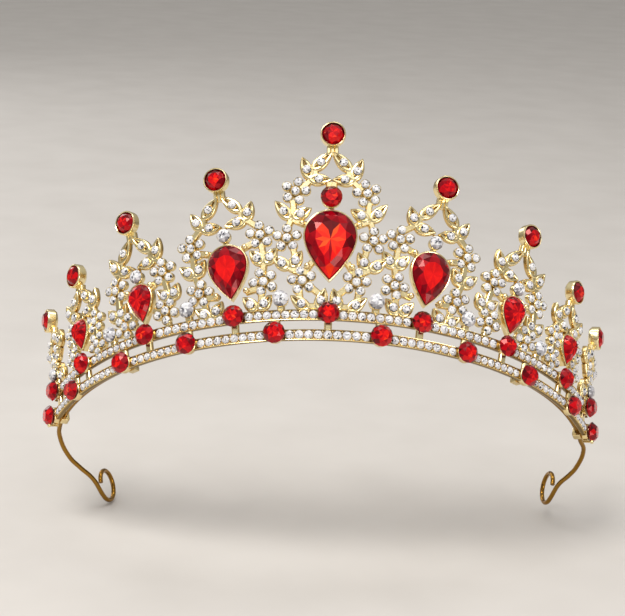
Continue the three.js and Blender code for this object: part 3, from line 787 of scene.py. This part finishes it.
def both_sides(stations):
    """The stations and their mirror images, from left to right."""
    return sorted({-station for station in stations} | set(stations))


def add_bar(gold, where, ends, width=LINK_WIDTH, **extra):
    u0, h0, u1, h1 = ends
    shape = bar_shape(math.hypot(u1 - u0, h1 - h0), width, **extra)
    gold.add(shape, frame_at(*where, u0, h0, 0.0, math.atan2(h1 - h0, u1 - u0)))


def large_cup(radius):
    """The round setting of one of the larger stones."""
    return cup_shape(radius - 0.1, PLATE + 0.1, 24)


def add_flower(gold, clear, where, flower, size, key):
    """Five petals round a middle, each a clear stone in a cup. key varies the stones' cuts and turns."""
    u, h, petal = flower
    first = math.radians(petal)
    gold.add(rosette_shape(size), frame_at(*where, u, h, 0.0, first))
    reach = size * PETAL_CIRCLE
    places = [(u, h, FLOWER_CENTRE_DEPTH)]
    for k in range(PETALS):
        angle = first + 2 * math.pi * k / PETALS
        places.append((u + reach * math.cos(angle), h + reach * math.sin(angle), PETAL_DEPTH))
    scale = np.diag([size, size, 1.0, 1.0])
    for k, (stone_u, stone_h, depth) in enumerate(places):
        radius = (PETAL_CUP if k else FLOWER_CENTRE_CUP) * (0.5 + 0.5 * size)
        gold.add(cup_shape(radius, depth), frame_at(*where, stone_u, stone_h, 0.0))
        place = frame_at(*where, stone_u, stone_h, depth - PETAL_STONE_SUNK, 0.5 * k + key)
        clear.add(pick(SMALL_STONES, key + k), place @ scale)


def add_leaf(gold, clear, where, leaf, key):
    """A leaf with a clear stone in a cup, a little nearer to its base than to its tip."""
    u0, h0, u1, h1 = leaf
    turn = math.atan2(h1 - h0, u1 - u0)
    gold.add(leaf_shape(math.hypot(u1 - u0, h1 - h0)), frame_at(*where, u0, h0, 0.0, turn))
    stone_u, stone_h = u0 + LEAF_STONE * (u1 - u0), h0 + LEAF_STONE * (h1 - h0)
    gold.add(cup_shape(LEAF_CUP, LEAF_CUP_DEPTH), frame_at(*where, stone_u, stone_h, 0.0))
    clear.add(
        pick(SMALL_STONES, key), frame_at(*where, stone_u, stone_h, LEAF_STONE_SEAT, 0.7 * key)
    )


def add_accent(gold, where, h, is_red, node, index):
    """The round stone above a pear, red or clear, on a short upright bar."""
    radius = RED_RADIUS if is_red else CLEAR_RADIUS
    reach = radius + 0.6
    gold.add(large_cup(radius), frame_at(*where, 0.0, h, 0.0))
    add_bar(gold, where, (0.0, h - reach, 0.0, h + reach), 1.6, height=1.2)
    if is_red:
        red_round(node, *where, h, PLATE + GAP, 31)
        return
    shape = gem_shape(round_outline(CLEAR_RADIUS), 10, 1.6, SEEDS["accent"] + index, large_clear_look)
    stone(node, "clear_glass", CLEAR, shape, (*where, 0.0, h, PLATE, 0.2))


def spire(side, index):
    made = SPIRES[index]
    where = (side * SPIRE_STATIONS[index], side * SPIRE_LEANS[index])
    gold, clear = Batch(), Batch()
    size = 1.0 if index < SMALL_FLOWER_FROM else SMALL_FLOWER
    top = made["top"]
    gold.add(drum_shape(), frame_at(*where, 0.0, top, 0.0))
    for u in TOP_RODS:
        add_bar(gold, where, (u, top - 5.5, u, top - 2.8), 1.1)
    key = 10 * index + (3 if side < 0 else 0)
    for way in (-1, 1):
        for leaf in made["leaves"]:
            key += 1
            add_leaf(gold, clear, where, (way * leaf[0], leaf[1], way * leaf[2], leaf[3]), key)
        for u0, h0, u1, h1 in made["links"]:
            add_bar(gold, where, (way * u0, h0, way * u1, h1))
        for u, h, petal in made["flowers"]:
            if u == 0 and way < 0:
                continue
            key += 7
            flower = (way * u, h, petal if way > 0 else 180 - petal)
            add_flower(gold, clear, where, flower, size, key)
        for u, h in made["beads"]:
            gold.add(bead_shape(BEAD_RADIUS), frame_at(*where, way * u, h, 0.0))
    if "pear" in made:
        h, width, length = made["pear"]
        gold.add(bezel_shape(width, length), frame_at(*where, 0.0, h, 0.0))
        red_pear(side_name("pear_stone", side, index), where, made["pear"], index)
    if "accent" in made:
        h, is_red = made["accent"]
        add_accent(gold, where, h, is_red, side_name("accent_stone", side, index), index)
    seed = index * 2 + (side > 0)
    red_round(side_name("top_stone", side, index), *where, top, TOP_SEAT, seed)
    red_round(side_name("upper_rail_stone", side, index), where[0], 0.0, UPPER_RED, RED_SEAT, 11 + seed)
    name = side_name("spire", side, index)
    keep(gold.build(name + "_gold", GOLD, "POINT"), "gold_plate", name)
    keep(clear.build(name + "_rhinestones", CLEAR, "FACE"), "clear_glass")


for spire_index in range(len(SPIRES)):
    for spire_side in [1] if spire_index == 0 else [-1, 1]:
        spire(spire_side, spire_index)

# ------------------------------------------------------------ rails

# The channel's shade is painted: its underside and floor darker as shade, its front lips brighter as
# highlight.
RAIL_SECTION = [  # height, depth and shade, once round the channel
    (0.3, 0.0, 0.5), (0.12, 0.2, 0.3), (0.02, 0.7, 0.12), (0.0, 1.25, 0.12), (0.03, 1.55, 0.35),
    (0.1, 1.64, 0.75), (0.18, 1.62, 0.75), (0.25, 1.5, 0.5), (0.22, 1.12, 0.3), (2.58, 1.12, 0.3),
    (2.55, 1.5, 0.6), (2.62, 1.62, 1.0), (2.7, 1.64, 1.0), (2.77, 1.55, 0.95), (2.8, 1.25, 0.3),
    (2.78, 0.7, 0.12), (2.68, 0.2, 0.3), (2.5, 0.0, 0.5),
]
RAIL_STEPS = 160
RAIL_PITCH = 2.39  # at most, between two clear stones
RAIL_STONE_FILL = 0.487  # radius of a rail's clear stone, as a share of its pitch
RAIL_CUP_WALL = 0.05
RAIL_CUP_DEPTH = 1.52
RAIL_STONE_SEAT = 1.16
TUCKED_IN = 0.25  # how far the clear stones' room reaches under a red stone
GRAIN_OUT = 0.92  # how far the grains between two stones are from the rail's middle line
# A grain's top is painted bright as highlight.
GRAIN = [(0.2, 1.0, 0.4), (0.26, 1.5, 0.9), (0.17, 1.68, 1.0), (0.05, 1.74, 1.0)]
END_CLAW = [  # radius, height and shade of the claw below an end stone; its top is painted bright as highlight
    (0.3, 0.6, 0.4), (0.3, 2.5, 0.5), (0.5, 2.75, 1.0), (0.58, 3.1, 1.0), (0.5, 3.4, 1.0), (0.2, 3.6, 1.0),
]
END_CLAW_HEIGHT = -0.95


def rail_channel(bottom, end):
    """The long channel, in short steps along the arch."""
    runs = np.linspace(-end, end, RAIL_STEPS + 1)
    rings = [worn([(0.0, bottom + h, w) for h, w, _ in RAIL_SECTION], s) for s in runs]
    points, faces, _ = loft(rings, [0] * len(runs))
    return points, flipped(faces), np.array([v for _, _, v in RAIL_SECTION] * len(runs))


def stone_runs(reds):
    """Station and radius of each clear stone that fills the rail between its red ones."""
    stones = []
    clear_of_red = RED_RADIUS - TUCKED_IN
    for a, b in zip(reds, reds[1:]):
        length = b - a - 2 * clear_of_red
        count = math.ceil(length / RAIL_PITCH)
        radius = RAIL_STONE_FILL * length / count
        stones += [(a + clear_of_red + length * (k + 0.5) / count, radius) for k in range(count)]
    return stones


def red_seat_shape(radius):
    # The seat's inner top is painted dark as shade.
    return lathe(
        [
            (radius - 0.3, 0.3, 0.5), (radius, 0.5, 0.7), (radius, 1.8, 0.9), (radius - 0.15, 1.95, 0.9),
            (0.6, 1.95, 0.2),
        ],
        28,
    )


def rail(name, bottom, end, red_stations, red_height, seat_radius, tab):
    """A channel with its row of clear stones, a seat for each red one, and upright tabs behind."""
    gold, clear = Batch(), Batch()
    gold.add(rail_channel(bottom, end))
    middle = bottom + RAIL_HEIGHT / 2
    reds = both_sides(red_stations)
    stones = stone_runs(reds)
    for k, (station, radius) in enumerate(stones):
        cup = cup_shape(radius + RAIL_CUP_WALL, RAIL_CUP_DEPTH, 14)
        gold.add(cup, frame_at(station, 0.0, 0.0, middle, 0.0))
        scale = np.diag([radius, radius, 1.0, 1.0])
        place = frame_at(station, 0.0, 0.0, middle, RAIL_STONE_SEAT, 0.9 * k)
        clear.add(pick(RAIL_STONES, k), place @ scale)
    for (station, _), (following, _) in zip(stones, stones[1:]):
        if following - station > RED_RADIUS:  # a red stone is between them
            continue
        for h in (middle - GRAIN_OUT, middle + GRAIN_OUT):
            gold.add(lathe(GRAIN, 8), frame_at((station + following) / 2, 0.0, 0.0, h, 0.0))
    for station in reds:
        gold.add(red_seat_shape(seat_radius), frame_at(station, 0.0, 0.0, red_height, 0.0))
    tab_stations, low, high, width = tab
    for station in both_sides(tab_stations):
        add_bar(gold, (station, 0.0), (0.0, low, 0.0, high), width, low=0.25)
    if BAND_END in red_stations:
        for way in (-1, 1):
            gold.add(lathe(END_CLAW, 12), frame_at(way * BAND_END, 0.0, 0.0, END_CLAW_HEIGHT, 0.0))
    keep(gold.build(name + "_gold", GOLD, "POINT"), "gold_plate", name)
    keep(clear.build(name + "_rhinestones", CLEAR, "FACE"), "clear_glass")


LOWER_REDS = [*LOWER_STATIONS, BAND_END]
rail("lower_rail", 0.0, LOWER_RAIL_END, LOWER_REDS, LOWER_RED, 2.45, (LOWER_STATIONS, 2.5, 5.3, 3.0))
rail(
    "upper_rail", UPPER_RAIL, UPPER_RAIL_END, SPIRE_STATIONS, UPPER_RED, 2.2,
    (SPIRE_STATIONS, 2.6, 5.5, 2.0),
)

for red_index, red_station in enumerate(LOWER_REDS):
    for red_side, red_word in ((-1, "left"), (1, "right")):
        red_node = f"lower_rail_stone_{red_word}_{red_index + 1}"
        if red_station == BAND_END:
            red_node = f"end_stone_{red_word}"
        red_seed = 50 + red_index * 2 + (red_side > 0)
        red_round(red_node, red_side * red_station, 0.0, LOWER_RED, RED_SEAT, red_seed)


def between_stone(station, name, seed):
    """A larger clear stone on a post that stands on the upper rail between two spires."""
    seat_height = SPIRE_FOOT + 2.8
    place = (station, 0.0, 0.0, seat_height)
    gold = Batch()
    gold.add(large_cup(BETWEEN_RADIUS), frame_at(*place, 0.0))
    add_bar(gold, place[:2], (0.0, SPIRE_FOOT - 0.3, 0.0, seat_height - 1.0), 2.0)
    keep(gold.build(f"between_seat_{name}_gold", GOLD, "POINT"), "gold_plate")
    shape = gem_shape(
        round_outline(BETWEEN_RADIUS), 10, 1.7, SEEDS["between"] + seed, large_clear_look
    )
    stone(f"between_stone_{name}", "clear_glass", CLEAR, shape, (*place, PLATE, 0.1), False)


for mid_index in range(3):
    mid = (SPIRE_STATIONS[mid_index] + SPIRE_STATIONS[mid_index + 1]) / 2
    for mid_side, mid_word in ((-1, "left"), (1, "right")):
        mid_seed = mid_index * 2 + (mid_side > 0)
        between_stone(mid_side * mid, f"{mid_word}_{mid_index + 1}", mid_seed)

# ------------------------------------------------------------ end wires and their clips

WIRE_START = 52.0
WIRE_LEAVES = 93.8
WIRE_STEPS = 8
WIRE_TAIL = [
    (73.5, 51.8, -13.7), (71.7, 58.6, -17.7), (69.7, 61.4, -19.4), (66.7, 64.7, -21.6),
]
WIRE_FLEX = Vector((2.8, -1.1, 1.3))
EYELET_CENTRE = Vector((64.1, 71.4, -21.7))
EYELET_AXIS = Vector((0.938, 0.298, -0.161))
EYELET_TWIST = Vector((0.026, -0.07, 0.022))
EYELET_RADIUS = 4.3
EYELET_FROM = 1.28 * math.pi
EYELET_SWEEP = 1.71 * math.pi
EYELET_PITCH = 0.5
EYELET_STEPS = 14


def tipped(point):
    """A point in mm, before the tiara is tipped back, to metres in the part's frame."""
    x, y, z = point
    c, s = math.cos(WORN_TILT), math.sin(WORN_TILT)
    return Vector((x, y * c + z * s, -y * s + z * c)) / 1000


def wire_points(side):
    """Along the rail's back, down the tail and round the eyelet, for the right side or the left."""
    points = []
    for run in np.linspace(WIRE_START, WIRE_LEAVES, WIRE_STEPS + 1):
        points.append(Vector(worn([(0.0, RAIL_HEIGHT / 2, -WIRE_RADIUS - GAP)], run)[0]))
    for i, place in enumerate(WIRE_TAIL):
        share = (i + 1) / (len(WIRE_TAIL) + 1)
        points.append(tipped(Vector(place) + side * share * WIRE_FLEX))
    centre = EYELET_CENTRE + side * WIRE_FLEX
    axis = (EYELET_AXIS + side * EYELET_TWIST).normalized()
    forward = Vector((0, 1, 0))
    forward = (forward - forward.dot(axis) * axis).normalized()
    rise = axis.cross(forward)
    for i in range(EYELET_STEPS + 1):
        share = i / EYELET_STEPS
        angle = EYELET_FROM + EYELET_SWEEP * share
        offset = EYELET_RADIUS * (forward * math.cos(angle) + rise * math.sin(angle))
        points.append(tipped(centre + offset - EYELET_PITCH * share * axis))
    return [Vector((side * p.x, p.y, p.z)) for p in points]


def end_wire(side, word):
    curve = bpy.data.curves.new(f"end_wire_{word}_brass", "CURVE")
    curve.dimensions = "3D"
    curve.bevel_depth = WIRE_RADIUS / 1000
    curve.bevel_resolution = 5
    curve.resolution_u = 8
    curve.use_fill_caps = True
    spline = curve.splines.new("BEZIER")
    points = wire_points(side)
    spline.bezier_points.add(len(points) - 1)
    for handle, point in zip(spline.bezier_points, points):
        handle.co = point
        handle.handle_left_type = handle.handle_right_type = "AUTO"
    piece = bpy.data.objects.new(curve.name, curve)
    bpy.context.scene.collection.objects.link(piece)
    curve.materials.append(BRASS)
    keep(piece, "gold_wire", f"end_wire_{word}")


CLIP_LENGTH = 2.4
CLIP_STATIONS = {"front": 54.5, "end": 89.2}


def clip_shape(station):
    """A strap over the wire: an open channel with rounded shoulders, soldered to the rail's back."""
    middle = RAIL_HEIGHT / 2
    inner, outer = WIRE_RADIUS + 0.12, WIRE_RADIUS + 0.9
    deep = -2 * WIRE_RADIUS - 0.95
    section = [
        (-outer, 0.02), (-outer, deep + 0.5), (-outer + 0.15, deep + 0.15), (-outer + 0.5, deep),
        (outer - 0.5, deep), (outer - 0.15, deep + 0.15), (outer, deep + 0.5), (outer, 0.02),
        (inner, 0.02), (inner, deep + 0.75), (inner - 0.25, deep + 0.55), (-inner + 0.25, deep + 0.55),
        (-inner, deep + 0.75), (-inner, 0.02),
    ]
    half, bevel, drawn_in = CLIP_LENGTH / 2, 0.15, 0.92
    rings = []
    for x, grow in ((-half, drawn_in), (-half + bevel, 1.0), (half - bevel, 1.0), (half, drawn_in)):
        ring = [(x, middle + h * grow, w * (grow if w < -0.5 else 1)) for h, w in section]
        rings.append(worn(ring, station))
    return loft(rings, [0.8] * len(rings))


for wire_side, wire_word in ((-1, "left"), (1, "right")):
    end_wire(wire_side, wire_word)
    for clip_name, clip_station in CLIP_STATIONS.items():
        clip = Batch()
        clip.add(clip_shape(wire_side * clip_station))
        clip_node = f"wire_clip_{clip_name}_{wire_word}"
        keep(clip.build(clip_node + "_gold", GOLD, "POINT"), "gold_plate", clip_node)

# ------------------------------------------------------------ floor, light and camera


FLOOR_BELOW = 0.0003
FLOOR_REACH = 6.0


def stage_floor():
    """A wide pale floor just below the lowest point of the wires."""
    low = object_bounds()[0].z - FLOOR_BELOW
    corners = [(-1, -1), (1, -1), (1, 1), (-1, 1)]
    mesh = bpy.data.meshes.new("floor")
    mesh.from_pydata([(x * FLOOR_REACH, y * FLOOR_REACH, low) for x, y in corners], [], [(0, 1, 2, 3)])
    floor = bpy.data.objects.new("floor", mesh)
    bpy.context.scene.collection.objects.link(floor)
    m = Nodes("pale_floor")
    cloud = m.ramp(m.noise(30.0, 3.0), [(0.3, (0.60, 0.57, 0.54)), (0.7, (0.64, 0.61, 0.58))])
    m.link(cloud, m.shader.inputs["Base Color"])
    m.set(Roughness=0.6)
    mesh.materials.append(m.material)


def area_light(name, place, target, size, power, colour=(1.0, 1.0, 1.0)):
    data = bpy.data.lights.new(name, "AREA")
    data.shape = "RECTANGLE"
    data.size, data.size_y = size
    data.energy = power
    data.color = colour
    lamp = bpy.data.objects.new(name, data)
    lamp.location = place
    lamp.rotation_mode = "QUATERNION"
    lamp.rotation_quaternion = (Vector(target) - Vector(place)).to_track_quat("-Z", "Y")
    bpy.context.scene.collection.objects.link(lamp)


SKY = [  # from straight down to straight up
    (0.0, (0.30, 0.25, 0.20)), (0.45, (0.16, 0.13, 0.11)), (0.62, (0.55, 0.53, 0.50)),
    (1.0, (1.0, 0.99, 0.97)),
]
SKY_STRENGTH = 0.6


def studio():
    """Soft lamps round the tiara, and a pale sky for the metal to mirror."""
    target = (0.0, 0.02, 0.0)
    area_light("key", (-0.30, -0.34, 0.90), target, (0.45, 0.30), 6.0, (1.0, 0.97, 0.92))
    area_light("fill", (0.55, -0.75, 0.10), target, (0.30, 0.30), 1.5, (1.0, 0.97, 0.94))
    area_light("softbox", (0.0, -0.52, 1.0), target, (1.3, 0.7), 2.5, (1.0, 0.98, 0.95))
    area_light("top", (0.05, 0.25, 0.85), target, (0.7, 0.25), 1.6)
    area_light("rim", (-0.5, 0.7, 0.35), target, (0.4, 0.4), 1.0)
    world = bpy.data.worlds.new("studio")
    bpy.context.scene.world = world
    world.use_nodes = True
    tree = world.node_tree
    where = tree.nodes.new("ShaderNodeTexCoord")
    split = tree.nodes.new("ShaderNodeSeparateXYZ")
    ramp = tree.nodes.new("ShaderNodeValToRGB")
    fill_ramp(ramp, SKY)
    rescale = tree.nodes.new("ShaderNodeMapRange")
    rescale.inputs["From Min"].default_value = -1.0
    tree.links.new(where.outputs["Generated"], split.inputs[0])
    tree.links.new(split.outputs["Z"], rescale.inputs["Value"])
    tree.links.new(rescale.outputs["Result"], ramp.inputs["Fac"])
    background = tree.nodes["Background"]
    tree.links.new(ramp.outputs["Color"], background.inputs["Color"])
    background.inputs["Strength"].default_value = SKY_STRENGTH
    bpy.context.scene.view_settings.view_transform = "Standard"


CAMERA_AZIMUTH = math.radians(-1.36)
CAMERA_ELEVATION = math.radians(14.346)
CAMERA_ROLL = math.radians(2.206)
CAMERA_TARGET = Vector((0.0, 0.01062, 0.01575))
CAMERA_DISTANCE = 0.43887
SENSOR_WIDTH = 36.0
LENS = 97.8624
LENS_SHIFT = (-0.026768, -0.05816)


def camera():
    """A short telephoto in front of the tiara and a little above it, rolled by two degrees."""
    flat = math.cos(CAMERA_ELEVATION)
    back = Vector((
        math.sin(CAMERA_AZIMUTH) * flat, -math.cos(CAMERA_AZIMUTH) * flat, math.sin(CAMERA_ELEVATION)
    ))
    right = (-back).cross(Vector((0, 0, 1))).normalized()
    up = right.cross(-back)
    across = right * math.cos(CAMERA_ROLL) + up * math.sin(CAMERA_ROLL)
    above = up * math.cos(CAMERA_ROLL) - right * math.sin(CAMERA_ROLL)
    data = bpy.data.cameras.new("camera")
    data.sensor_width = SENSOR_WIDTH
    data.lens = LENS
    data.shift_x, data.shift_y = LENS_SHIFT
    data.clip_start, data.clip_end = 0.01, 20.0
    seen_from = bpy.data.objects.new("camera", data)
    bpy.context.scene.collection.objects.link(seen_from)
    turned = Matrix((across, above, back)).transposed().to_4x4()
    seen_from.matrix_world = Matrix.Translation(CAMERA_TARGET + back * CAMERA_DISTANCE) @ turned
    bpy.context.scene.camera = seen_from


camera()
stage_floor()
studio()
